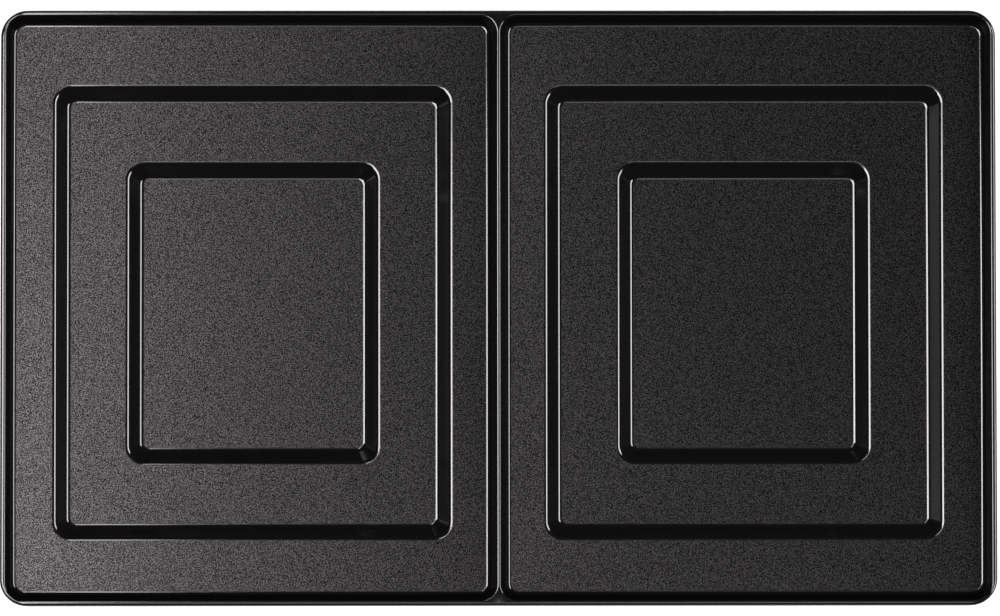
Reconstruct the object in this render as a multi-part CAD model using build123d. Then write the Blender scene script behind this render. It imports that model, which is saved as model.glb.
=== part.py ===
"""A removable twin-cell cooking plate for a sandwich maker: one die-cast aluminium plate.

Millimetres, +Z up. X runs along the long side, and +Y is the side that hooks in at the hinge. The origin
is the centre of the plate's outline, on the plane of its lowest faces, the pads that sit on the heater.
"""

import math
import os

from build123d import *

# Outline
PLATE_X = 255.0             # overall length, at the foot of the skirt
PLATE_Y = 152.7             # overall width, at the foot of the skirt
OUTLINE_RADIUS = 7.0        # corner radius in plan
WALL = 3.0                  # thickness of the casting

# Heights: each level is a step down from the one before it
RIM_HEIGHT = 4.5            # rim and divider above the cell floor
RECESS_DEPTH = 3.5          # bread recess below the cell floor
POCKET_DEPTH = 3.5          # pocket below the recess floor
POCKET_Z = WALL
RECESS_Z = POCKET_Z + POCKET_DEPTH
CELL_Z = RECESS_Z + RECESS_DEPTH
RIM_Z = CELL_Z + RIM_HEIGHT
SKIRT_Z = 2.0               # foot of the skirt, clear of the surface that the pads rest on

# Cells, sized at the sharp foot of their walls
RIM_FOOT = 3.15             # from the outline to the foot of the rim's inner wall
RIM_DRAFT = 20.0            # degrees from vertical, inside the rim
SKIRT_DRAFT = 0.5           # degrees from vertical, outside the rim
DIVIDER_FOOT = 4.9          # width of the divider between the feet of its walls
DIVIDER_CREST = 1.1         # and at the top, before the edges are rounded
CELL_X = (PLATE_X - 2 * RIM_FOOT - DIVIDER_FOOT) / 2
CELL_Y = PLATE_Y - 2 * RIM_FOOT
CELL_CENTRE_X = (DIVIDER_FOOT + CELL_X) / 2
CELL_FOOT_RADIUS = 3.3      # corner radius in plan at the cell floor
CELL_MOUTH_RADIUS = 4.6     # and at the crest of the rim

# Bread recess and pocket: rounded rectangles with sloping sides, set a little to the front and the middle
STEP_SLOPE = 43.3           # degrees from vertical
STEP_CENTRE_X = 63.0
STEP_SHIFT_Y = -1.0
RECESS_X = 101.4            # at the top edge
RECESS_Y = 115.9
POCKET_X = 64.2             # at the top edge
POCKET_Y = 76.9
STEP_TOP_RADIUS = 4.2       # corner radius in plan at the top edge of a step
STEP_FOOT_RADIUS = 2.2      # and at its foot

# Edge roundings
RIM_OUTER_FILLET = 0.8
CREST_FILLET = 0.6          # inside the rim, and both edges of the divider
CELL_FOOT_FILLET = 1.2
STEP_FILLET = 1.5
PAD_BEVEL = 0.8             # lower edges of the wells

# Hollow underside
SKIRT_FOOT_WALL = 2.4       # the skirt is thinner at its foot, so that the casting leaves the die
UNDER_DRAFT = 6.0           # degrees from vertical, inside the skirt
UNDER_CELL_Z = CELL_Z - WALL
UNDER_RECESS_Z = RECESS_Z - WALL
WELL_SLOPE = 45.0           # degrees from vertical
WELL_GROWTH = WALL * (math.sqrt(2) - 1)     # keeps a 45 degree wall WALL thick
WELL_FOOT_RADIUS = 2.5

# Seat of the tubular heater: a loop-shaped channel between two low ribs, round both pockets
HEATER_D = 6.5
SEAT_CLEARANCE = 0.25       # each side of the heater
SEAT_RIB = 2.0              # width of each rib
SEAT_X = 209.0              # the loop's centre line
SEAT_Y = 96.0
SEAT_RADIUS = 14.0
SEAT_Z = 0.5                # foot of the ribs
SEAT_BEVEL = 1.8

# Stiffening ribs under the cell floor
ROOTED = 0.5                # how far a detail runs into the wall that carries it
RIB = 2.2
RIB_PITCH = 36.0
RIBS_PER_SIDE = 3
RIB_ROOT = 3.0              # a rib starts this far inside the top edge of its well
RIB_SPAN_Z = (3.5, UNDER_CELL_Z + ROOTED)

# Ejector bosses under the cell floor
EJECTOR_D = 7.0
EJECTOR_Z = 5.6
EJECTOR_INSET = 7.5         # from the outline to the centre

# Rear tongues and front catch ledge: both lie inside the outline, behind a notch in the skirt
TONGUE_X = 70.0             # each side of the middle
TONGUE_WIDTH = 16.0
LEDGE_WIDTH = 22.0
HOOK_THICKNESS = 2.4
HOOK_WEB = 3.0
HOOK_REACH = 12.0           # from the web's inner face to the tip
HOOK_INSET = 0.6            # the tip's distance inside the outline
NOTCH_MARGIN = 2.5          # the notch is wider than its hook by this much each side
NOTCH_TOP_Z = 6.4
HOOKS = [                   # place along X, side (+1 is the rear), width
    (-TONGUE_X, 1, TONGUE_WIDTH),
    (TONGUE_X, 1, TONGUE_WIDTH),
    (0.0, -1, LEDGE_WIDTH),
]

TOLERANCE = 0.01            # for telling which edges lie at a height


def plan(length, width, radius, z, centre=(0.0, 0.0)):
    """A rounded rectangle lying at height z."""
    return Pos(centre[0], centre[1], z) * RectangleRounded(length, width, radius)


def edges_at(shape, z, box=None):
    """The edges that lie flat at height z, or those of them within box: (length, width, centre)."""
    flat = [e for e in shape.edges() if all(abs(v.Z - z) < TOLERANCE for v in e.vertices())]
    if box is None:
        return flat
    length, width, centre = box
    return [
        e for e in flat
        if abs(e.center().X - centre[0]) < length / 2 + TOLERANCE
        and abs(e.center().Y - centre[1]) < width / 2 + TOLERANCE
    ]


def step(length, width, top_z, depth, centre):
    """The hollow of one step down, with sloping sides and a rounded foot."""
    foot_z = top_z - depth
    run = depth * math.tan(math.radians(STEP_SLOPE))
    upper = plan(length, width, STEP_TOP_RADIUS, top_z, centre)
    lower = plan(length - 2 * run, width - 2 * run, STEP_FOOT_RADIUS, foot_z, centre)
    hollow = loft([lower, upper], ruled=True)
    return fillet(edges_at(hollow, foot_z), STEP_FILLET)


def cell_hollow(side):
    """Everything open above one cell: the tray inside the rim, the bread recess and the pocket."""
    spread = math.tan(math.radians(RIM_DRAFT)) * RIM_HEIGHT
    mouth_outer = PLATE_X / 2 - RIM_FOOT + spread
    mouth_x = mouth_outer - DIVIDER_CREST / 2
    mouth_centre = (side * (mouth_outer - mouth_x / 2), 0.0)
    step_centre = (side * STEP_CENTRE_X, STEP_SHIFT_Y)
    foot = plan(CELL_X, CELL_Y, CELL_FOOT_RADIUS, CELL_Z, (side * CELL_CENTRE_X, 0.0))
    mouth = plan(mouth_x, CELL_Y + 2 * spread, CELL_MOUTH_RADIUS, RIM_Z, mouth_centre)
    hollow = loft([foot, mouth], ruled=True)
    hollow = fillet(edges_at(hollow, CELL_Z), CELL_FOOT_FILLET)
    hollow += step(RECESS_X, RECESS_Y, CELL_Z, RECESS_DEPTH, step_centre)
    hollow = fillet(edges_at(hollow, CELL_Z, (RECESS_X, RECESS_Y, step_centre)), STEP_FILLET)
    hollow += step(POCKET_X, POCKET_Y, RECESS_Z, POCKET_DEPTH, step_centre)
    return fillet(edges_at(hollow, RECESS_Z, (POCKET_X, POCKET_Y, step_centre)), STEP_FILLET)


def skirted_block():
    """The outside of the plate, with a slight draft and a rounded rim, and its hollow underside."""
    foot = plan(PLATE_X, PLATE_Y, OUTLINE_RADIUS, SKIRT_Z)
    block = extrude(foot, amount=RIM_Z - SKIRT_Z, taper=SKIRT_DRAFT)
    block = fillet(edges_at(block, RIM_Z), RIM_OUTER_FILLET)
    opening = plan(
        PLATE_X - 2 * SKIRT_FOOT_WALL, PLATE_Y - 2 * SKIRT_FOOT_WALL,
        OUTLINE_RADIUS - SKIRT_FOOT_WALL, SKIRT_Z,
    )
    return block - extrude(opening, amount=UNDER_CELL_Z - SKIRT_Z, taper=UNDER_DRAFT)


def well(length, width, top_z, depth, centre):
    """The outside of one step, seen from below: WALL thick all round, up to the level above it."""
    foot_z = top_z - WALL - depth
    shrink = 2 * (depth - WELL_GROWTH)
    foot = plan(length - shrink, width - shrink, WELL_FOOT_RADIUS, foot_z, centre)
    body = extrude(foot, amount=depth, taper=-WELL_SLOPE)
    body = chamfer(edges_at(body, foot_z), PAD_BEVEL)
    grow = 2 * WELL_GROWTH
    shoulder = plan(length + grow, width + grow, WELL_FOOT_RADIUS + depth, top_z - WALL, centre)
    return body + extrude(shoulder, amount=WALL)


def heater_seat():
    """The band that carries the heater channel; it bridges from one well to the other."""
    clear = HEATER_D + 2 * SEAT_CLEARANCE
    reach = clear / 2 + SEAT_RIB
    centre = (0.0, STEP_SHIFT_Y)
    outer = plan(SEAT_X + 2 * reach, SEAT_Y + 2 * reach, SEAT_RADIUS + reach, SEAT_Z, centre)
    inner = plan(SEAT_X - 2 * reach, SEAT_Y - 2 * reach, SEAT_RADIUS - reach, SEAT_Z, centre)
    return extrude(outer - inner, amount=UNDER_CELL_Z - SEAT_Z)


def heater_channel():
    """The channel itself, flat at the bottom with bevelled corners, open downwards."""
    half = HEATER_D / 2 + SEAT_CLEARANCE
    centre = (0.0, STEP_SHIFT_Y)
    outer = plan(SEAT_X + 2 * half, SEAT_Y + 2 * half, SEAT_RADIUS + half, 0, centre)
    inner = plan(SEAT_X - 2 * half, SEAT_Y - 2 * half, SEAT_RADIUS - half, 0, centre)
    loop = extrude(outer - inner, amount=UNDER_RECESS_Z)
    return chamfer(edges_at(loop, UNDER_RECESS_Z), SEAT_BEVEL)


def bar(x_range, y_range, z_range):
    """A rectangular bar between two corners."""
    size = [high - low for low, high in (x_range, y_range, z_range)]
    middle = [(high + low) / 2 for low, high in (x_range, y_range, z_range)]
    return Pos(*middle) * Box(*size)


def rib_places():
    """Where the ribs of one side stand, evenly spaced about its middle."""
    return [(i - (RIBS_PER_SIDE - 1) / 2) * RIB_PITCH for i in range(RIBS_PER_SIDE)]


def upright(middle):
    """The range that a rib covers across its own thickness."""
    return (middle - RIB / 2, middle + RIB / 2)


def edge_ribs(side):
    """Thin ribs under one cell, from its well to the skirt at the rear, the front and the end."""
    root_x = RECESS_X / 2 - RIB_ROOT
    root_y = RECESS_Y / 2 - RIB_ROOT
    tip_x = PLATE_X / 2 - SKIRT_FOOT_WALL
    tip_y = PLATE_Y / 2 - SKIRT_FOOT_WALL
    end = sorted((side * (STEP_CENTRE_X + root_x), side * tip_x))
    ribs = []
    for place in rib_places():
        across = upright(side * STEP_CENTRE_X + place)
        ribs.append(bar(across, (STEP_SHIFT_Y + root_y, tip_y), RIB_SPAN_Z))
        ribs.append(bar(across, (-tip_y, STEP_SHIFT_Y - root_y), RIB_SPAN_Z))
        ribs.append(bar(end, upright(STEP_SHIFT_Y + place), RIB_SPAN_Z))
    return ribs


def middle_ribs():
    """A spine under the divider, and cross ribs from well to well."""
    reach = STEP_CENTRE_X - RECESS_X / 2 + RIB_ROOT
    cross = [bar((-reach, reach), upright(STEP_SHIFT_Y + y), RIB_SPAN_Z) for y in rib_places()]
    spine = bar(upright(0), (STEP_SHIFT_Y - SEAT_Y / 2, STEP_SHIFT_Y + SEAT_Y / 2), RIB_SPAN_Z)
    return cross + [spine]


def ejector_bosses():
    """Round bosses where the die's pins push the casting out: one at each corner, one at the rear."""
    x_far = PLATE_X / 2 - EJECTOR_INSET
    y_far = PLATE_Y / 2 - EJECTOR_INSET
    spots = [(x, y) for x in (-x_far, x_far) for y in (-y_far, y_far)]
    spots.append((0.0, y_far))
    low, high = EJECTOR_Z, UNDER_CELL_Z + ROOTED
    return [Pos(x, y, (low + high) / 2) * Cylinder(EJECTOR_D / 2, high - low) for x, y in spots]


def hook(x, side, width):
    """A web down from the cell floor and a tongue out towards the skirt; side is +1 at the rear."""
    tip = PLATE_Y / 2 - HOOK_INSET
    root = tip - HOOK_REACH
    across = (x - width / 2, x + width / 2)
    web = sorted((side * root, side * (root + HOOK_WEB)))
    tongue = sorted((side * root, side * tip))
    body = bar(across, web, (SKIRT_Z, UNDER_CELL_Z + ROOTED))
    return body + bar(across, tongue, (SKIRT_Z, SKIRT_Z + HOOK_THICKNESS))


def notch(x, side, width):
    """The opening in the foot of the skirt in front of a hook."""
    half = width / 2 + NOTCH_MARGIN
    inside = PLATE_Y / 2 - WALL - ROOTED
    outside = PLATE_Y / 2 + ROOTED
    depth = sorted((side * inside, side * outside))
    return bar((x - half, x + half), depth, (SKIRT_Z - ROOTED, NOTCH_TOP_Z))


def rounded_mouths(plate):
    """The plate with the inner edges of the rim and both edges of the divider rounded."""
    crest = edges_at(plate, RIM_Z)
    mouths = [
        e for e in crest
        if abs(e.center().X) < PLATE_X / 2 - RIM_FOOT / 2
        and abs(e.center().Y) < PLATE_Y / 2 - RIM_FOOT / 2
    ]
    return fillet(mouths, CREST_FILLET)


def cooking_plate():
    """The whole casting."""
    plate = skirted_block()
    details = [heater_seat()] + middle_ribs() + ejector_bosses()
    for side in (-1, 1):
        centre = (side * STEP_CENTRE_X, STEP_SHIFT_Y)
        details.append(well(RECESS_X, RECESS_Y, CELL_Z, RECESS_DEPTH, centre))
        details.append(well(POCKET_X, POCKET_Y, RECESS_Z, POCKET_DEPTH, centre))
        details += edge_ribs(side)
    for detail in details:
        plate += detail
    for place in HOOKS:
        plate -= notch(*place)
        plate += hook(*place)
    plate -= heater_channel()
    for side in (-1, 1):
        plate -= cell_hollow(side)
    return rounded_mouths(plate)


os.makedirs("parts", exist_ok=True)
plate = cooking_plate()
print("cooking_plate", plate.is_valid, len(plate.solids()), round(plate.volume), plate.bounding_box())
export_step(plate, "parts/cooking_plate.step")
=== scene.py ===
# %% [markdown]
# # A twin cooking plate for a sandwich maker
#
# The object is one die-cast aluminium plate with a black non-stick coat. It lifts out of its machine
# and has no moving part of its own. Seen from above it has two cells side by side. Each is a tray
# inside a rim, with a recess for the bread and a smaller pocket in the recess, like two picture frames
# sunk one in the other. Seen from below it is a hollow casting with ribs and a seat for the heater.
#
# Three things carry the look: the roundings along every step, which draw bright hairlines; the fine
# grain of the coat on the flats; and the near-black of the smooth slopes between them. The script makes
# the plate as one fine mesh, then its coat, then the studio.

import math

import bmesh
import bpy
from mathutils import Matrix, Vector


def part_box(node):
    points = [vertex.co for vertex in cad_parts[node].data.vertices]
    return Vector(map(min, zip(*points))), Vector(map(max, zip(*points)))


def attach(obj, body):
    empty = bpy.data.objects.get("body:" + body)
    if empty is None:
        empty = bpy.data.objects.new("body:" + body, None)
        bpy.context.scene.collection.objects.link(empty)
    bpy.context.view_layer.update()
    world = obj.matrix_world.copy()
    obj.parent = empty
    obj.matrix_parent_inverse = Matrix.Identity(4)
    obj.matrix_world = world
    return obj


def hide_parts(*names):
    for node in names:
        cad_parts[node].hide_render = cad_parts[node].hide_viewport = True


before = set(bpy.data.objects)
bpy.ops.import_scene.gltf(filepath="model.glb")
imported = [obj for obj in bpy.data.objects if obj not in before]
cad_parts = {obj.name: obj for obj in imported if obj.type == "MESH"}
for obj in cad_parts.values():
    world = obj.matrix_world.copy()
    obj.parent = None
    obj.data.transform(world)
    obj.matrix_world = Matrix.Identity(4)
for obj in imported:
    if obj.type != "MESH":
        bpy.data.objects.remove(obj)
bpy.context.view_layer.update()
low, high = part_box("cooking_plate")
print("frame", [round(v, 4) for v in low], [round(v, 4) for v in high])

# %% [markdown]
# ## Driving sizes
#
# Blender works in metres and a die caster in millimetres, so every size is written in millimetres times
# `MM`. The length, width and height come from the frame. The others are the choices a caster makes:
# the wall, the depth of each step, the draft that lets the die open, and the radii.

# %% Driving sizes
MM = 0.001

PLATE_X = high.x - low.x
PLATE_Y = high.y - low.y
RIM_Z = high.z
OUTLINE_RADIUS = 7.0 * MM
WALL = 3.0 * MM

STEP_DEPTH = 3.5 * MM           # from the cell floor to the recess, and from there to the pocket

POCKET_Z = WALL
RECESS_Z = POCKET_Z + STEP_DEPTH
CELL_Z = RECESS_Z + STEP_DEPTH
SKIRT_Z = 2.0 * MM
print("levels in mm", [round(z / MM, 2) for z in (SKIRT_Z, POCKET_Z, RECESS_Z, CELL_Z, RIM_Z)])

# %% [markdown]
# ## The loop: one rounded rectangle
#
# Every edge of this plate, seen from above, is a rounded rectangle. So the plate can be built like a
# stack of bent wire frames with a skin stretched between them. Box modelling with bevels would need
# care at each corner, and sculpting would lose the straight edges. Loops with one fixed number of points
# have clean four-sided faces between them, as point 7 of one loop always meets point 7 of the next.
# A loop may lie at a different height on each of its four sides, and its corners blend them.

# %% Rounded rectangle loops
CORNER_STEPS = 14               # faces round a quarter turn
SIDE_STEPS = 16                 # faces along a side


def straight(start, end):
    """The points between two corners, with the ends left out."""
    return [start.lerp(end, k / SIDE_STEPS) for k in range(1, SIDE_STEPS)]


def rounded_loop(sides, radii, heights):
    """The points of a rounded rectangle. Sides and heights are (left, right, front, rear), and radii
    are those of the two left and of the two right corners."""
    left, right, front, rear = sides
    r_left, r_right = radii
    z_left, z_right, z_front, z_rear = heights
    corners = [
        (right - r_right, rear - r_right, r_right, 0, z_right, z_rear),
        (left + r_left, rear - r_left, r_left, 90, z_rear, z_left),
        (left + r_left, front + r_left, r_left, 180, z_left, z_front),
        (right - r_right, front + r_right, r_right, 270, z_front, z_right),
    ]
    points = []
    for x, y, radius, start, z_from, z_to in corners:
        arc = []
        for k in range(CORNER_STEPS + 1):
            share = k / CORNER_STEPS
            angle = math.radians(start + 90 * share)
            z = z_from + (z_to - z_from) * share
            arc.append(Vector((x + radius * math.cos(angle), y + radius * math.sin(angle), z)))
        if points:
            points += straight(points[-1], arc[0])
        points += arc
    return points + straight(points[-1], points[0])


def level_loop(length, width, radius, z, centre=(0.0, 0.0)):
    """A rounded rectangle that lies level."""
    x, y = centre
    sides = (x - length / 2, x + length / 2, y - width / 2, y + width / 2)
    return rounded_loop(sides, (radius, radius), (z, z, z, z))


print("points in a loop", len(level_loop(PLATE_X, PLATE_Y, OUTLINE_RADIUS, 0)))

# %% [markdown]
# ## The section: what an edge looks like when it is cut through
#
# The section is drawn as a few sharp corners, each with the radius it is rounded by, and one function
# turns them into a smooth line. That is how the drawing of a casting gives them, and it makes every
# rounding meet its flats without a kink, so that it catches one clean line of light. A bevel modifier
# gives every edge one width, and needs a weight on each edge to make the foot rounder than the crest.
# A corner is (reach inward, height, corner radius in plan, rounding).

# %% Rounded sections
ARC_STEPS = 8                   # faces across a rounding


def rounding(before, corner, after):
    """The points of the arc that rounds one corner of a section, as (reach, z, plan radius)."""
    here = Vector(corner[:3])
    ways = []
    for other in (before, after):
        way = Vector(other[:3]) - here
        ways.append(way / Vector(way[:2]).length)
    flat = [Vector(way[:2]) for way in ways]
    opening = flat[0].angle(flat[1])
    radius = corner[3]
    tangent = radius / math.tan(opening / 2)
    centre = (flat[0] + flat[1]).normalized() * (radius / math.sin(opening / 2))
    start = (flat[0] * tangent - centre).normalized()
    end = (flat[1] * tangent - centre).normalized()
    cross = flat[0].cross(flat[1])
    points = []
    for k in range(ARC_STEPS + 1):
        spot = centre + start.slerp(end, k / ARC_STEPS) * radius
        # how far along each of the two ways that spot lies
        along = spot.cross(flat[1]) / cross
        across = flat[0].cross(spot) / cross
        points.append(here + ways[0] * along + ways[1] * across)
    return points


def rounded_section(corners):
    """A smooth section through all corners but the first and last, which only give directions."""
    points = []
    for before, corner, after in zip(corners, corners[1:], corners[2:]):
        if corner[3]:
            points += rounding(before, corner, after)
        else:
            points.append(Vector(corner[:3]))
    return points


def swept(section, length, width, centre=(0.0, 0.0)):
    """The loops of a section that is the same all round a rectangle; reach is inward from its sides."""
    return [
        level_loop(length - 2 * reach, width - 2 * reach, radius, z, centre)
        for reach, z, radius in section
    ]


sample = rounded_section([(-1, 0, 1, 0), (0, 0, 1, 0.1), (1, -1, 1, 0)])
print("points across a rounding", len(sample))

# %% [markdown]
# ## Skin between the loops
#
# Two loops with the same number of points are joined by a band of four-sided faces. A run of loops
# makes a run of bands. Where a flat has holes in it, such as the top of the rim with its two openings,
# bands can't help, so the flat is filled with triangles between all the loops that border it.

# %% Skin and fill
def skin(bm, loops, closed=False):
    """Bands of faces over the loops. Returns the points of the first loop and of the last."""
    rows = [[bm.verts.new(point) for point in loop] for loop in loops]
    pairs = list(zip(rows, rows[1:]))
    if closed:
        pairs.append((rows[-1], rows[0]))
    for upper, lower in pairs:
        for k in range(len(upper)):
            after = (k + 1) % len(upper)
            bm.faces.new((upper[k], upper[after], lower[after], lower[k]))
    return rows[0], rows[-1]


def fill_between(bm, rows):
    """Fills a flat that is bordered by all these rows of points."""
    edges = []
    for row in rows:
        edges += [bm.edges.get((row[k - 1], row[k])) for k in range(len(row))]
    bmesh.ops.triangle_fill(bm, edges=edges, use_beauty=True, use_dissolve=False)


def shrunk(loop, share):
    """A loop drawn in towards its own middle."""
    middle = sum(loop, Vector()) / len(loop)
    return [middle.lerp(point, share) for point in loop]


FLOOR_SHARES = (0.8, 0.6, 0.4, 0.2)     # loops across the floor of a pocket, the last one filled


def with_floor(loops):
    """The loops of a hollow, with more of them across its floor."""
    return loops + [shrunk(loops[-1], share) for share in FLOOR_SHARES]


trial = bmesh.new()
skin(trial, [level_loop(PLATE_X, PLATE_Y, OUTLINE_RADIUS, z) for z in (0, RIM_Z)])
print("faces in one band", len(trial.faces))
trial.free()

# %% [markdown]
# ## The top: two cells
#
# From the rim inward: a steep wall with a small rounding at its crest, the cell floor, a step at about
# 45 degrees down to the bread recess, and another down to the pocket. The wall beside the divider leans
# back a little more than the wall inside the rim, and the divider's top is one round crest, so the wall
# is not one section all round. Both sections have the same number of points, and each side of a loop
# takes its own reach and height. Both steps have one section all round, so they are swept.

# %% Sizes of the cells
RIM_FOOT = 3.15 * MM            # from the outline to the foot of the rim's inner wall
RIM_DRAFT = 20.0                # degrees from vertical
RIM_LEAN = math.tan(math.radians(RIM_DRAFT)) * (RIM_Z - CELL_Z)
DIVIDER_FOOT = 4.9 * MM
DIVIDER_CREST = 1.0 * MM
DIVIDER_LEAN = (DIVIDER_FOOT - DIVIDER_CREST) / 2
CREST_ROUNDING = 0.6 * MM       # inside the rim
DIVIDER_ROUNDING = 0.7 * MM     # both edges of the divider, so that its top is round
FOOT_ROUNDING = 1.2 * MM
RIM_RADII = (4.6 * MM, 3.3 * MM)        # corners of the cell, at the crest and at the floor
DIVIDER_RADII = (4.2 * MM, 2.6 * MM)    # and those beside the divider
CELL_X = (PLATE_X - 2 * RIM_FOOT - DIVIDER_FOOT) / 2
CELL_CENTRE_X = (DIVIDER_FOOT + CELL_X) / 2

RECESS_X, RECESS_Y = 101.4 * MM, 115.9 * MM     # at the top edge
POCKET_X, POCKET_Y = 64.2 * MM, 76.9 * MM       # at the top edge
STEP_RUN = 3.3 * MM             # how far a step's side reaches in on its way down
STEP_CENTRE_X = 63.0 * MM
STEP_SHIFT_Y = -1.0 * MM        # both sit a little to the front
STEP_TOP_RADIUS = 4.2 * MM
STEP_FOOT_RADIUS = 2.2 * MM
STEP_ROUNDING = 1.7 * MM
RUN_ON = 1.0 * MM               # how far a section's end point lies out on its flat
print("a cell is", round(CELL_X / MM, 2), "mm across at its floor")


# %% Loops of a cell
def wall_section(lean, crest_rounding, radii):
    """The inside of the rim or the divider, from the crest to the cell floor."""
    mouth_radius, foot_radius = radii
    return rounded_section([
        (-RUN_ON, RIM_Z, mouth_radius + RUN_ON, 0),
        (0, RIM_Z, mouth_radius, crest_rounding),
        (lean, CELL_Z, foot_radius, FOOT_ROUNDING),
        (lean + RUN_ON, CELL_Z, foot_radius - RUN_ON, 0),
    ])


def step_section(top_z):
    """One step down, a little steeper than 45 degrees."""
    return rounded_section([
        (-RUN_ON, top_z, STEP_TOP_RADIUS + RUN_ON, 0),
        (0, top_z, STEP_TOP_RADIUS, STEP_ROUNDING),
        (STEP_RUN, top_z - STEP_DEPTH, STEP_FOOT_RADIUS, STEP_ROUNDING),
        (STEP_RUN + RUN_ON, top_z - STEP_DEPTH, STEP_FOOT_RADIUS - RUN_ON, 0),
    ])


def cell_wall_loops(side):
    """The loops of a cell's wall; side is -1 for the left cell and +1 for the right one."""
    rim = wall_section(RIM_LEAN, CREST_ROUNDING, RIM_RADII)
    divider = wall_section(DIVIDER_LEAN, DIVIDER_ROUNDING, DIVIDER_RADII)
    outer = PLATE_X / 2 - RIM_FOOT + RIM_LEAN
    rear = PLATE_Y / 2 - RIM_FOOT + RIM_LEAN
    loops = []
    for at_rim, at_divider in zip(rim, divider):
        far = (outer - at_rim[0], at_rim[1], at_rim[2])
        near = (DIVIDER_CREST / 2 + at_divider[0], at_divider[1], at_divider[2])
        left, right = (near, far) if side > 0 else (far, near)
        reach = rear - at_rim[0]
        sides = (side * left[0], side * right[0], -reach, reach)
        heights = (left[1], right[1], at_rim[1], at_rim[1])
        loops.append(rounded_loop(sides, (left[2], right[2]), heights))
    return loops


def cell_loops(side):
    """All loops of a cell, from the crest of the rim to the middle of the pocket."""
    centre = (side * STEP_CENTRE_X, STEP_SHIFT_Y)
    loops = cell_wall_loops(side)
    loops += swept(step_section(CELL_Z), RECESS_X, RECESS_Y, centre)
    loops += swept(step_section(RECESS_Z), POCKET_X, POCKET_Y, centre)
    return with_floor(loops)


print("loops in a cell", len(cell_loops(1)))

# %% [markdown]
# ## The outside and the hollow below
#
# Outside, one section runs from the crest of the rim over its outer rounding, down the skirt, round its
# thin foot and up inside it to the underside of the cell floor. The skirt leans half a degree outside
# and six degrees inside, because the die has to come away from both. Below, the two steps show again
# from their other side, one wall thickness out, and end in the flat pads that sit on the heater.

# %% Sizes of the outside and of the wells
OUTER_ROUNDING = 0.8 * MM
SKIRT_DRAFT = 0.5               # degrees from vertical
SKIRT_LEAN = math.tan(math.radians(SKIRT_DRAFT)) * (RIM_Z - SKIRT_Z)
SKIRT_FOOT_WALL = 2.4 * MM
SKIRT_FOOT_ROUNDING = 0.4 * MM
UNDER_CELL_Z = CELL_Z - WALL
UNDER_RECESS_Z = RECESS_Z - WALL
UNDER_DRAFT = 6.0               # degrees from vertical, inside the skirt
UNDER_LEAN = math.tan(math.radians(UNDER_DRAFT)) * (UNDER_CELL_Z - SKIRT_Z)
UNDER_ROUNDING = 1.2 * MM       # where the floor's underside meets the skirt and the wells
WELL_GROWTH = WALL * (math.sqrt(2) - 1)     # keeps a 45 degree wall as thick as the floors
WELL_SHOULDER_RADIUS = 6.0 * MM
WELL_FOOT_RADIUS = 2.5 * MM
PAD_ROUNDING = 0.8 * MM
print("the skirt leans in by", round(SKIRT_LEAN / MM, 2), "mm")


# %% Sections of the outside and of the wells
def outside_section():
    """From the crest of the rim, down the skirt, and up inside it."""
    under = SKIRT_FOOT_WALL + UNDER_LEAN
    return rounded_section([
        (RIM_FOOT, RIM_Z, OUTLINE_RADIUS - RIM_FOOT, 0),
        (SKIRT_LEAN, RIM_Z, OUTLINE_RADIUS - SKIRT_LEAN, OUTER_ROUNDING),
        (0, SKIRT_Z, OUTLINE_RADIUS, SKIRT_FOOT_ROUNDING),
        (SKIRT_FOOT_WALL, SKIRT_Z, OUTLINE_RADIUS - SKIRT_FOOT_WALL, SKIRT_FOOT_ROUNDING),
        (under, UNDER_CELL_Z, OUTLINE_RADIUS - under, UNDER_ROUNDING),
        (under + RUN_ON, UNDER_CELL_Z, OUTLINE_RADIUS - under - RUN_ON, 0),
    ])


def well_section(top_z):
    """The underside of one step, from the flat above it to the flat at its foot."""
    return rounded_section([
        (-RUN_ON, top_z, WELL_SHOULDER_RADIUS + RUN_ON, 0),
        (0, top_z, WELL_SHOULDER_RADIUS, UNDER_ROUNDING),
        (STEP_DEPTH, top_z - STEP_DEPTH, WELL_FOOT_RADIUS, PAD_ROUNDING),
        (STEP_DEPTH + RUN_ON, top_z - STEP_DEPTH, WELL_FOOT_RADIUS - RUN_ON, 0),
    ])


def well_loops(side):
    """The loops under one cell, from the floor's underside to the middle of the pad."""
    centre = (side * STEP_CENTRE_X, STEP_SHIFT_Y)
    grow = 2 * WELL_GROWTH
    loops = swept(well_section(UNDER_CELL_Z), RECESS_X + grow, RECESS_Y + grow, centre)
    loops += swept(well_section(UNDER_RECESS_Z), POCKET_X + grow, POCKET_Y + grow, centre)
    return with_floor(loops)


print("loops outside", len(outside_section()), "and under a cell", len(well_loops(1)))

# %% [markdown]
# ## A slight crown, and the bare casting
#
# A thin casting is seldom quite flat. Here the floor of each cell stands 0.6 mm higher in its middle
# than at its ends. That is a choice made for the light, not a known size, and the solid model is flat.
# The eye doesn't see it as height, but it sees how the light runs off towards one end of each cell and
# starts again behind the divider. A lattice modifier could bend the floor. Here each point is moved as
# it is made, by a cubic that is flat in the middle and steep at the ends, and the rim stays where it is.

# %% The crown and the bare casting
CROWN_ACROSS = 0.6 * MM         # how far the middle of a cell stands above its left and right ends
CROWN_ALONG = 0.6 * MM          # and above its front and rear ends
CROWN_POWER = 3                 # flat in the middle, steep at the ends


def crowned(point, side):
    """A point of a cell, moved by the crown of its floor. The middle rises by half of CROWN_ACROSS."""
    across = min(1.0, abs(point.x - side * CELL_CENTRE_X) / (CELL_X / 2))
    along = min(1.0, abs(point.y) / (PLATE_Y / 2 - RIM_FOOT))
    below_rim = min(1.0, (RIM_Z - point.z) / (RIM_Z - CELL_Z))
    drop = CROWN_ACROSS * across ** CROWN_POWER + CROWN_ALONG * along ** CROWN_POWER
    return point + Vector((0, 0, (CROWN_ACROSS / 2 - drop) * below_rim))


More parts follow.
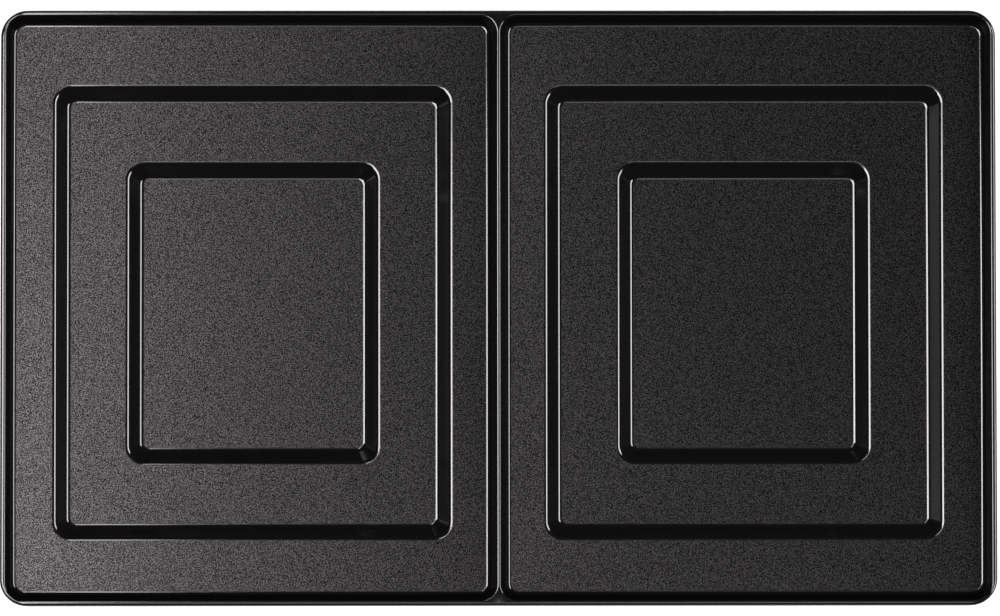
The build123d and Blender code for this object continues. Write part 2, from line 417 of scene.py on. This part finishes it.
def bare_casting():
    """The plate without its ribs, heater seat, bosses and hooks, as one closed mesh."""
    bm = bmesh.new()
    crest, ceiling = skin(bm, swept(outside_section(), PLATE_X, PLATE_Y))
    tops = []
    for side in (-1, 1):
        loops = [[crowned(point, side) for point in loop] for loop in cell_loops(side)]
        tops.append(skin(bm, loops))
    wells = [skin(bm, well_loops(side)) for side in (-1, 1)]
    for mouth, middle in tops + wells:
        bm.faces.new(middle)
    fill_between(bm, [crest] + [mouth for mouth, _ in tops])
    fill_between(bm, [ceiling] + [mouth for mouth, _ in wells])
    bmesh.ops.recalc_face_normals(bm, faces=bm.faces)
    return bm


casting = bare_casting()
open_edges = [edge for edge in casting.edges if len(edge.link_faces) != 2]
print("faces", len(casting.faces), "open edges", len(open_edges))
print("volume in cubic mm", round(casting.calc_volume() / MM ** 3))

# %% [markdown]
# ## What stands out of the underside
#
# Below the floors are the things that make the casting work: a seat for the tubular heater, thin ribs,
# bosses for the die's ejector pins, two tongues that hook in at the hinge, and a ledge for the catch at
# the front. They could be extruded from the mesh face by face, but their feet cross the sloping wells.
# Boolean modifiers are simpler: each thing is a small closed solid that runs a little way into the
# wall, so no two faces lie in one plane, and the modifier finds the line where they meet.

# %% Helpers for the details
ROUND = 0.5                     # the bevel profile that is part of a circle
NEAR = 0.1 * MM                 # points closer than this to a height or a face lie on it


def mesh_piece(name, bm):
    """Turns a finished bmesh into an object."""
    mesh = bpy.data.meshes.new(name)
    bm.to_mesh(mesh)
    bm.free()
    piece = bpy.data.objects.new(name, mesh)
    bpy.context.scene.collection.objects.link(piece)
    return piece


def bevelled_block(name, corners, is_rounded, width):
    """A block from four corners below and four above; a test picks the edges that are rounded."""
    bm = bmesh.new()
    verts = [bm.verts.new(corner) for corner in corners]
    faces = [(3, 2, 1, 0), (4, 5, 6, 7), (0, 1, 5, 4), (1, 2, 6, 5), (2, 3, 7, 6), (3, 0, 4, 7)]
    for face in faces:
        bm.faces.new([verts[k] for k in face])
    chosen = [edge for edge in bm.edges if is_rounded(*(vert.co for vert in edge.verts))]
    bmesh.ops.bevel(bm, geom=chosen, offset=width, segments=3, profile=ROUND, affect="EDGES")
    bmesh.ops.recalc_face_normals(bm, faces=bm.faces)
    return mesh_piece(name, bm)


def upright_box(x_range, y_range, z_range):
    """The eight corners of a box, the lower four first."""
    (x0, x1), (y0, y1) = x_range, y_range
    return [(x, y, z) for z in z_range for x, y in ((x0, y0), (x1, y0), (x1, y1), (x0, y1))]


def spread(middle, width):
    """The range that is width wide about the middle."""
    return (middle - width / 2, middle + width / 2)


details = []                    # (object, how it joins the casting), in the order of joining
print("a block 4 mm wide spans", spread(0, 4))

# %% [markdown]
# ### Heater seat
#
# The heater is a bent tube 6.5 mm thick that lies round both pockets. Its seat is a round-roofed
# channel between two low ribs. The section of both is closed, so it is swept round the loop and joined
# to itself. In the middle, under the divider, the floor is higher, so there the band's top is raised.

# %% Heater seat
HEATER = 6.5 * MM
HEATER_PLAY = 0.25 * MM
SEAT_RIB = 2.0 * MM
SEAT_X, SEAT_Y = 209.0 * MM, 96.0 * MM          # the heater's centre line
SEAT_RADIUS = 14.0 * MM
SEAT_Z = 0.5 * MM
SEAT_EDGE = 0.4 * MM
CHANNEL_ROOF = 3.4 * MM
CHANNEL_ROUNDING = 2.6 * MM
BAND_TOP = 5.0 * MM
BRIDGE_TOP = 7.2 * MM
BRIDGE_REACH = 11.4 * MM        # half of the stretch under the divider


def heater_seat():
    """The band that carries the heater, channel and all."""
    half = HEATER / 2 + HEATER_PLAY
    edge = half + SEAT_RIB
    outline = [
        (0, BAND_TOP, 0), (-edge, BAND_TOP, 0), (-edge, SEAT_Z, SEAT_EDGE), (-half, SEAT_Z, SEAT_EDGE),
        (-half, CHANNEL_ROOF, CHANNEL_ROUNDING), (half, CHANNEL_ROOF, CHANNEL_ROUNDING),
        (half, SEAT_Z, SEAT_EDGE), (edge, SEAT_Z, SEAT_EDGE), (edge, BAND_TOP, 0), (0, BAND_TOP, 0),
    ]
    corners = [(x, z, SEAT_RADIUS - x, edge_radius) for x, z, edge_radius in outline]
    section = rounded_section(corners)
    bm = bmesh.new()
    skin(bm, swept(section, SEAT_X, SEAT_Y, (0.0, STEP_SHIFT_Y)), closed=True)
    for vert in bm.verts:
        if vert.co.z > BAND_TOP - NEAR and abs(vert.co.x) < BRIDGE_REACH:
            vert.co.z = BRIDGE_TOP
    bmesh.ops.recalc_face_normals(bm, faces=bm.faces)
    return mesh_piece("heater_seat_form", bm)


details.append((heater_seat(), "UNION"))
print("heater channel is", round((HEATER + 2 * HEATER_PLAY) / MM, 1), "mm wide")

# %% [markdown]
# ### Ribs
#
# Each rib is thin and tapers downwards, so that it leaves the die. Its root is cut at 45 degrees to lie
# inside the sloping wall of the well, and its tip ends inside the skirt. One function makes a rib along
# a direction, and loops place three at the rear, front and end of each cell and three in the middle.

# %% Ribs
RIB = 2.2 * MM
RIB_TAPER = 0.3 * MM
RIB_EDGE = 0.5 * MM
RIB_PITCH = 36.0 * MM
RIB_PLACES = [-RIB_PITCH, 0.0, RIB_PITCH]
RIB_LOW, RIB_HIGH = 3.7 * MM, 7.4 * MM
ROOTED = 1.4 * MM               # how far a rib's root lies inside the wall of its well
TIP_INSIDE = 1.2 * MM           # and its tip inside the outline


def rib(name, start, direction, length, root_lean, tip_lean):
    """A rib along a direction; each end leans out by its own amount between its foot and its top."""
    start = Vector(start).to_3d()
    along = Vector(direction).to_3d()
    side = Vector((-along.y, along.x, 0))
    corners = []
    for z, half, lean in ((RIB_LOW, RIB / 2 - RIB_TAPER, 0), (RIB_HIGH, RIB / 2, 1)):
        near = start + along * (root_lean * lean) + Vector((0, 0, z))
        far = start + along * (length + tip_lean * lean) + Vector((0, 0, z))
        corners += [near - side * half, far - side * half, far + side * half, near + side * half]

    def lower_long(a, b):
        return max(a.z, b.z) < RIB_LOW + NEAR and (b - a).length > RIB

    details.append((bevelled_block(name, corners, lower_long, RIB_EDGE), "UNION"))


print("a rib is", round((RIB_HIGH - RIB_LOW) / MM, 1), "mm deep")

# %% Place the ribs
WELL_LEAN = RIB_HIGH - RIB_LOW  # the well's wall is at 45 degrees
root_x = RECESS_X / 2 + WELL_GROWTH - STEP_DEPTH - ROOTED
root_y = RECESS_Y / 2 + WELL_GROWTH - STEP_DEPTH - ROOTED
for side in (-1, 1):
    x, y = side * STEP_CENTRE_X, STEP_SHIFT_Y
    for place in RIB_PLACES:
        end_length = PLATE_X / 2 - TIP_INSIDE - STEP_CENTRE_X - root_x
        rib("end_rib", (x + side * root_x, y + place), (side, 0), end_length, WELL_LEAN, 0)
        for way in (-1, 1):
            length = PLATE_Y / 2 - TIP_INSIDE - root_y - way * STEP_SHIFT_Y
            rib("side_rib", (x + place, y + way * root_y), (0, way), length, WELL_LEAN, 0)
cross = STEP_CENTRE_X - root_x
for place in RIB_PLACES:
    rib("cross_rib", (-cross, STEP_SHIFT_Y + place), (1, 0), 2 * cross, WELL_LEAN, -WELL_LEAN)
rib("spine", (0, STEP_SHIFT_Y - SEAT_Y / 2), (0, 1), SEAT_Y, 0, 0)
print("ribs", len(details) - 1)

# %% [markdown]
# ### Ejector bosses
#
# Where a pin of the die pushes the hot casting out, the caster puts a short round stud, so that the pin
# doesn't mark the floor. There is one at each corner and one at the rear. A cylinder would do, but a cone
# that is a little narrower below comes with its draft, and its lower edge is bevelled.

# %% Ejector bosses
EJECTOR = 7.0 * MM
EJECTOR_TAPER = 0.15 * MM
EJECTOR_EDGE = 0.3 * MM
EJECTOR_INSET = 7.5 * MM
EJECTOR_LOW, EJECTOR_HIGH = 5.6 * MM, 7.5 * MM
EJECTOR_FACES = 40


def ejector_boss(x, y):
    """One stud, with a slight draft and a broken lower edge."""
    bm = bmesh.new()
    bmesh.ops.create_cone(
        bm, cap_ends=True, segments=EJECTOR_FACES, depth=EJECTOR_HIGH - EJECTOR_LOW,
        radius1=EJECTOR / 2 - EJECTOR_TAPER, radius2=EJECTOR / 2,
    )
    bmesh.ops.translate(bm, vec=(x, y, (EJECTOR_LOW + EJECTOR_HIGH) / 2), verts=bm.verts)
    lower = [e for e in bm.edges if max(v.co.z for v in e.verts) < EJECTOR_LOW + NEAR]
    bmesh.ops.bevel(bm, geom=lower, offset=EJECTOR_EDGE, segments=2, profile=ROUND, affect="EDGES")
    return mesh_piece("ejector_boss", bm)


far_x, far_y = PLATE_X / 2 - EJECTOR_INSET, PLATE_Y / 2 - EJECTOR_INSET
boss_places = [(-far_x, -far_y), (far_x, -far_y), (-far_x, far_y), (far_x, far_y), (0, far_y)]
for x, y in boss_places:
    details.append((ejector_boss(x, y), "UNION"))
print("bosses", len(boss_places))

# %% [markdown]
# ### Tongues and ledge
#
# The tongues and the ledge are hooks of one form: a web down from the floor and a flat tongue out behind
# a notch in the skirt. An L-shaped profile could be extruded, but two blocks let the tongue alone have
# round corners. The notches are cut first, then the hooks are joined, so that a hook is never cut by its
# own notch.

# %% Sizes of the hooks and notches
TONGUE_PLACE = 70.0 * MM
TONGUE_WIDTH = 16.0 * MM
LEDGE_WIDTH = 22.0 * MM
HOOK_THICKNESS = 2.4 * MM
HOOK_WEB = 3.0 * MM
HOOK_REACH = 12.0 * MM
HOOK_INSET = 0.6 * MM
HOOK_TOP = 7.5 * MM
HOOK_CORNER = 2.5 * MM
NOTCH_MARGIN = 2.5 * MM         # at each side of its hook
NOTCH_TOP = 6.4 * MM
NOTCH_CORNER = 1.0 * MM
NOTCH_REACH = 4.0 * MM          # how far the cut goes in from the outline
OVERLAP = 1.0 * MM              # how far one solid runs into or past another
print("a notch for a tongue is", round((TONGUE_WIDTH + 2 * NOTCH_MARGIN) / MM, 1), "mm wide")


# %% Notches, tongues and ledge
def hook(x, way, width):
    """A web and a tongue with a rounded tip; way is +1 at the rear and -1 at the front."""
    tip = PLATE_Y / 2 - HOOK_INSET
    root = tip - HOOK_REACH

    def across(y0, y1):
        return sorted((way * y0, way * y1))

    def at_tip(a, b):
        return min(abs(a.y), abs(b.y)) > tip - NEAR and abs(a.z - b.z) > NEAR

    def nowhere(a, b):
        return False

    web_z = (SKIRT_Z + OVERLAP, HOOK_TOP)
    web_box = upright_box(spread(x, width), across(root, root + HOOK_WEB), web_z)
    web = bevelled_block("hook_web", web_box, nowhere, 0)
    tongue_z = (SKIRT_Z, SKIRT_Z + HOOK_THICKNESS)
    tongue_box = upright_box(spread(x, width), across(root, tip), tongue_z)
    tongue = bevelled_block("tongue", tongue_box, at_tip, HOOK_CORNER)
    return [(web, "UNION"), (tongue, "UNION")]


def notch(x, way, width):
    """The opening in the skirt's foot in front of a hook, with rounded upper corners."""
    x_range = spread(x, width + 2 * NOTCH_MARGIN)
    y_range = sorted((way * (PLATE_Y / 2 - NOTCH_REACH), way * (PLATE_Y / 2 + OVERLAP)))
    box = upright_box(x_range, y_range, (SKIRT_Z - OVERLAP, NOTCH_TOP))

    def upper_corner(a, b):
        return min(a.z, b.z) > NOTCH_TOP - NEAR and abs(a.x - b.x) < NEAR

    return [(bevelled_block("notch", box, upper_corner, NOTCH_CORNER), "DIFFERENCE")]


hook_places = [                 # place along X, side (+1 is the rear), width
    (-TONGUE_PLACE, 1, TONGUE_WIDTH),
    (TONGUE_PLACE, 1, TONGUE_WIDTH),
    (0, -1, LEDGE_WIDTH),
]
for place in hook_places:
    details += notch(*place) + hook(*place)
print("details in all", len(details))

# %% [markdown]
# ### Join everything
#
# One Boolean modifier for each detail goes on the casting, in order, and Blender works out the result
# once. The evaluated mesh is copied, and the small solids have done their work and are removed.

# %% Join the details to the casting
plate = mesh_piece("cooking_plate_cast", casting)
for part, joining in details:
    modifier = plate.modifiers.new(part.name, "BOOLEAN")
    modifier.operation = joining
    modifier.solver = "MANIFOLD"
    modifier.object = part
result = plate.evaluated_get(bpy.context.evaluated_depsgraph_get())
joined = bpy.data.meshes.new_from_object(result)
plate.modifiers.clear()
plate.data = joined
for part, _ in details:
    bpy.data.objects.remove(part)


def mesh_facts(mesh):
    """(faces, edges without two faces, volume in cubic mm) of a mesh."""
    bm = bmesh.new()
    bm.from_mesh(mesh)
    loose = sum(len(edge.link_faces) != 2 for edge in bm.edges)
    facts = (len(bm.faces), loose, round(bm.calc_volume() / MM ** 3))
    bm.free()
    return facts


print("faces, open edges, volume", mesh_facts(plate.data))

# %% [markdown]
# ## Which parts of the skin are grained
#
# The coat has a fine grain on the flats, while the slopes and the rim are smooth. That could be two
# materials, but then the border between them would be hard. So each point of the mesh carries a number,
# 1 on a grained flat and 0 elsewhere, and the material reads it. From the last points of a flat to the
# next ones on the rounding the number runs from 1 to 0, so the grain fades out over about 0.2 mm.

# %% Grain mask on the mesh
LEVEL = 0.999                   # upward part of a face's normal from which it counts as a flat
LEVEL_SLACK = 1.2 * MM          # how far the crown may move a flat from its nominal height


def mark_grain(mesh):
    """Writes the attribute that says where the coat is grained."""
    flat_levels = (CELL_Z, RECESS_Z, POCKET_Z)
    grained = [0.0] * len(mesh.vertices)
    for face in mesh.polygons:
        if face.normal.z < LEVEL:
            continue
        if not any(abs(face.center.z - level) < LEVEL_SLACK for level in flat_levels):
            continue
        for index in face.vertices:
            grained[index] = 1.0
    attribute = mesh.attributes.new("grain", "FLOAT", "POINT")
    attribute.data.foreach_set("value", grained)
    return sum(grained)


print("grained points", mark_grain(plate.data))

# %% [markdown]
# ## Shading
#
# The mesh is shaded smooth, apart from true edges. A Weighted Normal modifier lets the large flats
# decide how the light turns at their borders, so that no flat looks bent there and the roundings carry
# the whole turn.

# %% Smooth shading
SHARP_ANGLE = math.radians(35)

plate.data.shade_smooth()
plate.data.set_sharp_from_angle(angle=SHARP_ANGLE)
weighted = plate.modifiers.new("flats stay flat", "WEIGHTED_NORMAL")
weighted.keep_sharp = True
weighted.weight = 100           # the largest faces decide
print("sharp edges", sum(edge.use_edge_sharp for edge in plate.data.edges))

# %% [markdown]
# ## The non-stick coat
#
# A non-stick coat is a black film, baked on, a few hundredths of a millimetre thick. It has two looks on
# this plate. On the slopes, the rim and the roundings it is smooth, so it mirrors the lamps as narrow
# bright lines and is black elsewhere. On the flats it is grained, so it is dull, and each grain gives
# back a little more or less light.
#
# A plain black plastic shader with a bump map would give the grain as relief only. The dull sheen would
# wash it out, and a slope would be as grey as a flat. Here the coat is treated as a very dark metal,
# because a metal's base colour is the strength of its mirror image. Then the grain can be drawn straight
# into the base colour, as a noise a quarter of a millimetre wide, and it stays visible in the sheen.
# The flats are less metallic than the slopes, so that they scatter a trace of light, though they are
# still nearly black from the side. The specular tint is one value all over, and darkens the mirror
# image at grazing angles. The grain mask on the mesh blends the other values from flat to slope.

# %% Material helpers
def new_material(name):
    """A material with only a Principled shader and its output."""
    material = bpy.data.materials.new(name)
    material.use_nodes = True
    return material, material.node_tree.nodes, material.node_tree.links


def feed(links, socket, source):
    """Links another node's output to a socket, or gives the socket a plain value."""
    if isinstance(source, bpy.types.NodeSocket):
        links.new(source, socket)
    else:
        socket.default_value = source


def maths(nodes, links, operation, *sources):
    """A Math node with these inputs. Returns its output."""
    node = nodes.new("ShaderNodeMath")
    node.operation = operation
    for socket, source in zip(node.inputs, sources):
        feed(links, socket, source)
    return node.outputs["Value"]


def mixed(nodes, links, share, first, second):
    """A Mix node between two colours. Returns its output."""
    node = nodes.new("ShaderNodeMix")
    node.data_type = "RGBA"
    for name, source in (("Factor", share), ("A", first), ("B", second)):
        feed(links, node.inputs[name], source)
    return node.outputs["Result"]


print("materials before the coat", len(bpy.data.materials))

# %% Values of the coat
GRAIN_SIZE = 0.25 * MM
GRAIN_TURN = (0.7, 0.5, 0.6)    # turns the noise's own lattice away from the flats
GRAIN_RANGE = (0.3, 0.7)        # the part of the noise that is used
GRAIN_POWER = 1.6               # above 1, so that light specks are fewer than dark ones
GRAIN_HEIGHT = 0.001 * MM
GRAIN_DARK = (0.0021, 0.0019, 0.0020, 1.0)
GRAIN_LIGHT = (0.0785, 0.0725, 0.0745, 1.0)
SMOOTH_COAT = (0.0768, 0.0748, 0.0755, 1.0)
EDGE_TINT = (0.3, 0.3, 0.3, 1.0)
ROUGHNESS = (0.105, 0.29)       # on the smooth parts, and on the grained flats
METALLIC = (0.95, 0.82)
print("specks of the grain are", GRAIN_SIZE / MM, "mm wide")


# %% The coat
def nonstick_coat():
    """Black coat, smooth on the slopes and grained on the flats."""
    material, nodes, links = new_material("nonstick_coat")
    shader = nodes["Principled BSDF"]
    shader.inputs["Specular Tint"].default_value = EDGE_TINT
    mask = nodes.new("ShaderNodeAttribute")
    mask.attribute_name = "grain"
    flatness = mask.outputs["Fac"]

    place = nodes.new("ShaderNodeTexCoord")
    turned = nodes.new("ShaderNodeMapping")
    turned.inputs["Rotation"].default_value = GRAIN_TURN
    links.new(place.outputs["Object"], turned.inputs["Vector"])
    noise = nodes.new("ShaderNodeTexNoise")
    noise.inputs["Scale"].default_value = 1 / GRAIN_SIZE
    noise.inputs["Detail"].default_value = 0
    links.new(turned.outputs["Vector"], noise.inputs["Vector"])
    stretched = nodes.new("ShaderNodeMapRange")
    stretched.inputs["From Min"].default_value = GRAIN_RANGE[0]
    stretched.inputs["From Max"].default_value = GRAIN_RANGE[1]
    links.new(noise.outputs["Fac"], stretched.inputs["Value"])
    grain = stretched.outputs["Result"]

    few_light = maths(nodes, links, "POWER", grain, GRAIN_POWER)
    speckle = mixed(nodes, links, few_light, GRAIN_DARK, GRAIN_LIGHT)
    colour = mixed(nodes, links, flatness, SMOOTH_COAT, speckle)
    links.new(colour, shader.inputs["Base Color"])

    for socket, (smooth, grained) in (("Roughness", ROUGHNESS), ("Metallic", METALLIC)):
        blend = maths(nodes, links, "MULTIPLY_ADD", flatness, grained - smooth, smooth)
        links.new(blend, shader.inputs[socket])

    relief = maths(nodes, links, "MULTIPLY", grain, flatness)
    bump = nodes.new("ShaderNodeBump")
    bump.inputs["Strength"].default_value = 1.0
    bump.inputs["Distance"].default_value = GRAIN_HEIGHT
    links.new(relief, bump.inputs["Height"])
    links.new(bump.outputs["Normal"], shader.inputs["Normal"])
    return material


plate.data.materials.clear()
plate.data.materials.append(nonstick_coat())
print("nodes in the coat", len(plate.data.materials[0].node_tree.nodes))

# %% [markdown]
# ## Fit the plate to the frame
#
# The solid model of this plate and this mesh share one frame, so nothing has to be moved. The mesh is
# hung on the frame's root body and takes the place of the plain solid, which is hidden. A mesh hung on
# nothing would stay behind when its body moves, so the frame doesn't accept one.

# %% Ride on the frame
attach(plate, "root")
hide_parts("cooking_plate")
print("plate spans in mm", [round(c / MM, 2) for c in plate.dimensions])

# %% [markdown]
# ## Camera
#
# The plate is seen from almost straight above through a long lens, as in a catalogue, so both cells
# look alike and the rim's walls hardly show. An orthographic camera would be simpler, but then opposite
# walls would show alike, and the lamps would mirror at nearly the same place on every edge. The camera
# hangs 1.8 m up, a little to the left and to the front of the middle, and is turned by the few degrees
# that bring it back.

# %% Camera
CAMERA_PLACE = (-14.9 * MM, -88.0 * MM, 1.8)
CAMERA_TURN = [math.radians(angle) for angle in (2.817, -0.487, -0.057)]
CAMERA_LENS = 251.7
SENSOR_WIDTH = 36.0
CAMERA_FAR = 20.0               # metres; what is farther away isn't drawn

camera_data = bpy.data.cameras.new("camera")
camera_data.lens = CAMERA_LENS
camera_data.sensor_width = SENSOR_WIDTH
camera_data.clip_end = CAMERA_FAR
camera = bpy.data.objects.new("camera", camera_data)
camera.location = CAMERA_PLACE
camera.rotation_euler = CAMERA_TURN
bpy.context.scene.collection.objects.link(camera)
bpy.context.scene.camera = camera
bpy.context.scene.view_settings.view_transform = "Standard"
print("field of view in degrees", round(math.degrees(camera_data.angle), 2))

# %% [markdown]
# ## Lamps
#
# On a glossy black plate a lamp is seen only where the surface mirrors it, so the lamps are placed by
# the lines they should draw. Straight above there is nothing, and a flat seen from above stays dark. A
# rounding turns from level to steep, and somewhere on it mirrors a panel: that is the bright line. The
# higher a panel hangs, the nearer to the flat its line lies. The left panel hangs high and the right one
# lower, so the lines on slopes that face right lie closer together than those on slopes that face left.
#
# The sheen on the flats comes from the outer part of the dull coat's mirror image. A long narrow panel
# nearer to the plate, up on the left, gives it to the left cell far more than to the right one. It hangs
# clear of the plate's left end, so that the front and rear edges don't mirror it as bright lines. Panels
# at the front and rear stay weak, because the slopes that face them are nearly black. One large dome of
# light would be easier, but it would turn every slope grey. Each panel is given by the directions that
# it fills as seen from the plate, and its power follows from its brightness and its area.

# %% Lamps
def softbox(name, azimuth, polar, distance, reach, radiance):
    """A soft panel that faces the plate. Azimuth 0 is +X; polar is its (near, far) edge from straight
    up and reach its half angle sideways, all in degrees."""
    middle = math.radians(sum(polar) / 2)
    half = math.radians((polar[1] - polar[0]) / 2)
    lamp = bpy.data.lights.new(name, "AREA")
    lamp.shape = "RECTANGLE"
    lamp.size = 2 * distance * math.sin(middle) * math.tan(math.radians(reach))
    lamp.size_y = 2 * distance * math.tan(half)
    lamp.energy = math.pi * lamp.size * lamp.size_y * radiance
    panel = bpy.data.objects.new(name, lamp)
    turn = math.radians(azimuth)
    flat = math.sin(middle)
    way = Vector((math.cos(turn) * flat, math.sin(turn) * flat, math.cos(middle)))
    panel.location = way * distance
    panel.rotation_mode = "QUATERNION"
    panel.rotation_quaternion = way.to_track_quat("Z", "Y")
    bpy.context.scene.collection.objects.link(panel)
    return panel


PANELS = [
    # name, azimuth, (near, far) edge from straight up, distance, reach sideways, radiance
    ("left_key", 193, (16, 40), 1.2, 28, 11.3),
    ("right_key", 0, (42, 63), 1.2, 28, 9.0),
    ("cell_fill", 176, (11, 16), 0.8, 65, 8.0),
    ("front_fill", 270, (5, 20), 1.5, 40, 1.7),
    ("rear_fill", 90, (12, 20), 1.5, 40, 0.5),
]
for settings in PANELS:
    panel = softbox(*settings)
    size = (panel.data.size, panel.data.size_y)
    print(panel.name, "in m", [round(v, 2) for v in size], "W", round(panel.data.energy, 2))

# %% [markdown]
# ## Floor and world
#
# The plate lies on a wide white sheet that fades to plain white, while the world above is almost black,
# because the slopes of the plate mirror the horizon. A sheet lit by the lamps alone would be grey where
# they don't reach, and a bright one would light the plate from below. So the sheet glows, but only for
# rays that come straight from the camera or from a mirror image. It still takes the plate's shadow.

# %% Floor and world
WORLD_GREY = 0.01
FLOOR_SIZE = 12.0
FLOOR_GAP = 0.05 * MM           # keeps the sheet just clear of the pads
SHEET_GREY = 0.9
SHEET_ROUGHNESS = 0.9
SHEET_GLOW = 0.7

world = bpy.data.worlds.new("studio")
world.use_nodes = True
background = world.node_tree.nodes["Background"]
background.inputs["Color"].default_value = (WORLD_GREY, WORLD_GREY, WORLD_GREY, 1)
bpy.context.scene.world = world


def stage_floor():
    """A wide white sheet."""
    bm = bmesh.new()
    bmesh.ops.create_grid(bm, x_segments=1, y_segments=1, size=FLOOR_SIZE / 2)
    floor = mesh_piece("floor", bm)
    floor.location.z = -FLOOR_GAP
    material, nodes, links = new_material("white_sheet")
    shader = nodes["Principled BSDF"]
    shader.inputs["Base Color"].default_value = (SHEET_GREY, SHEET_GREY, SHEET_GREY, 1)
    shader.inputs["Roughness"].default_value = SHEET_ROUGHNESS
    shader.inputs["Specular IOR Level"].default_value = 0.0
    shader.inputs["Emission Color"].default_value = (1, 1, 1, 1)
    rays = nodes.new("ShaderNodeLightPath")
    seen = rays.outputs["Is Camera Ray"]
    for kind in ("Is Glossy Ray", "Is Transmission Ray"):
        seen = maths(nodes, links, "MAXIMUM", seen, rays.outputs[kind])
    glow = maths(nodes, links, "MULTIPLY", seen, SHEET_GLOW)
    links.new(glow, shader.inputs["Emission Strength"])
    floor.data.materials.append(material)
    return floor


stage_floor()
print("the sheet is", FLOOR_SIZE, "m wide")
